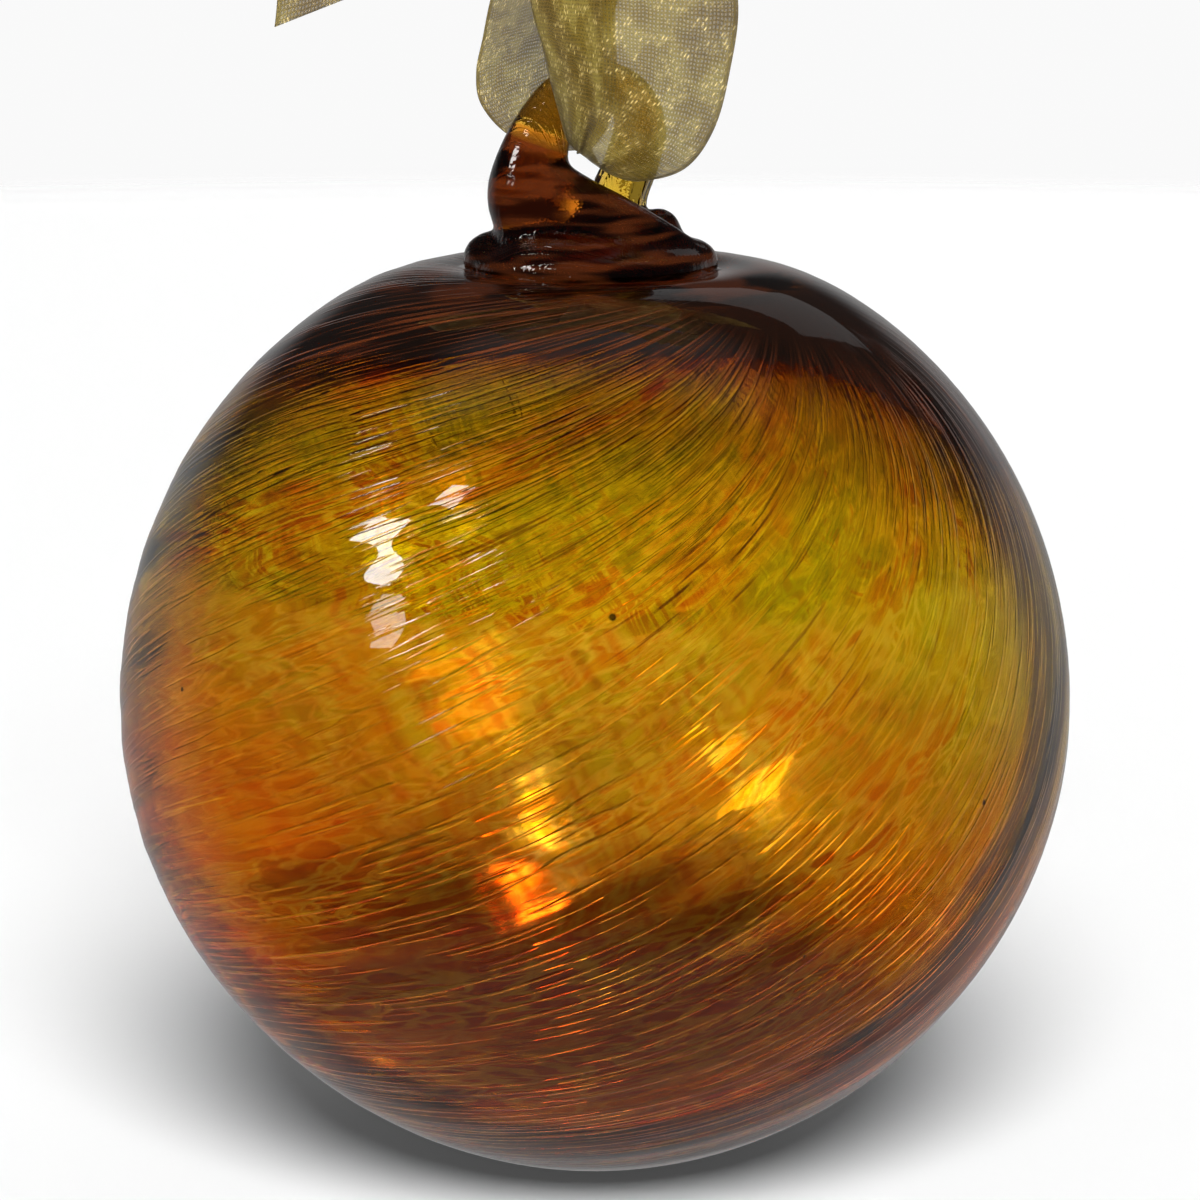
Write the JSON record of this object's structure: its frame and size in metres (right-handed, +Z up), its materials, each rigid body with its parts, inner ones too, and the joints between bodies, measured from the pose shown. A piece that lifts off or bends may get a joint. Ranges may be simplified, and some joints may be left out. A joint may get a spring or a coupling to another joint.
{
  "type": "glass christmas ornament",
  "caption": "Hand-blown streaky amber glass ball with a fused glass hanging loop and a sheer gold ribbon tied in a bow.",
  "frame": {"origin": "middle of the small flat spot under the ball", "axes": "+Z up through the neck and the loop, -Y the side where the ribbon's wide band hangs in front of the loop, +X to the right seen from there"},
  "size_m": [0.0998, 0.0998, 0.156],
  "materials": {
    "amber_glass": "clear, fire-polished, with twisted amber and red-brown streaks",
    "gold_organza": "sheer weave with glittering metallic threads"
  },
  "bodies": {
    "root": {"glass_ball": "amber_glass", "ribbon": "gold_organza"}
  },
  "joints": []
}
